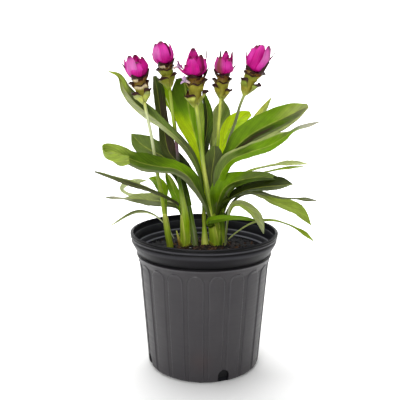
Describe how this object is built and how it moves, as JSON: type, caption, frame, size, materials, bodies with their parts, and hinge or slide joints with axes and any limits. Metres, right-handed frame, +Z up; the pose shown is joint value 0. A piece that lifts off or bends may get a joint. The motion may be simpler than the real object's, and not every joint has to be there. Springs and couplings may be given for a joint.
{
  "type": "potted curcuma",
  "caption": "Curcuma plant with upright leafy shoots and pink flower heads on stalks, growing in a round fluted nursery pot filled with soil.",
  "frame": {"origin": "centre of the underside of the pot, on the floor", "axes": "+Z up along the pot's axis, -Y to the front of the plant as pictured, +X to its right"},
  "size_m": [0.3864, 0.254, 0.5556],
  "materials": {
    "pot": "satin",
    "soil": "matte",
    "leaf": "satin",
    "bract": "satin",
    "coma": "satin",
    "floret": "satin"
  },
  "bodies": {
    "root": {"pot": "pot", "soil": "soil", "shoot_left": "leaf", "shoot_left_thick": "leaf", "shoot_grey": "leaf", "shoot_slim": "leaf", "shoot_front": "leaf", "shoot_right": "leaf", "shoot_back": "leaf", "leaf_drooping_right": "leaf", "leaf_low_right": "leaf", "leaf_arching_left": "leaf", "sprout": "leaf", "bracts_left": "bract", "bracts_left_middle": "bract", "bracts_middle": "bract", "bracts_right_middle": "bract", "bracts_right": "bract", "coma_left": "coma", "coma_left_middle": "coma", "coma_middle": "coma", "coma_right_middle": "coma", "coma_right": "coma", "floret_middle": "floret", "floret_left_middle": "floret"}
  },
  "joints": []
}
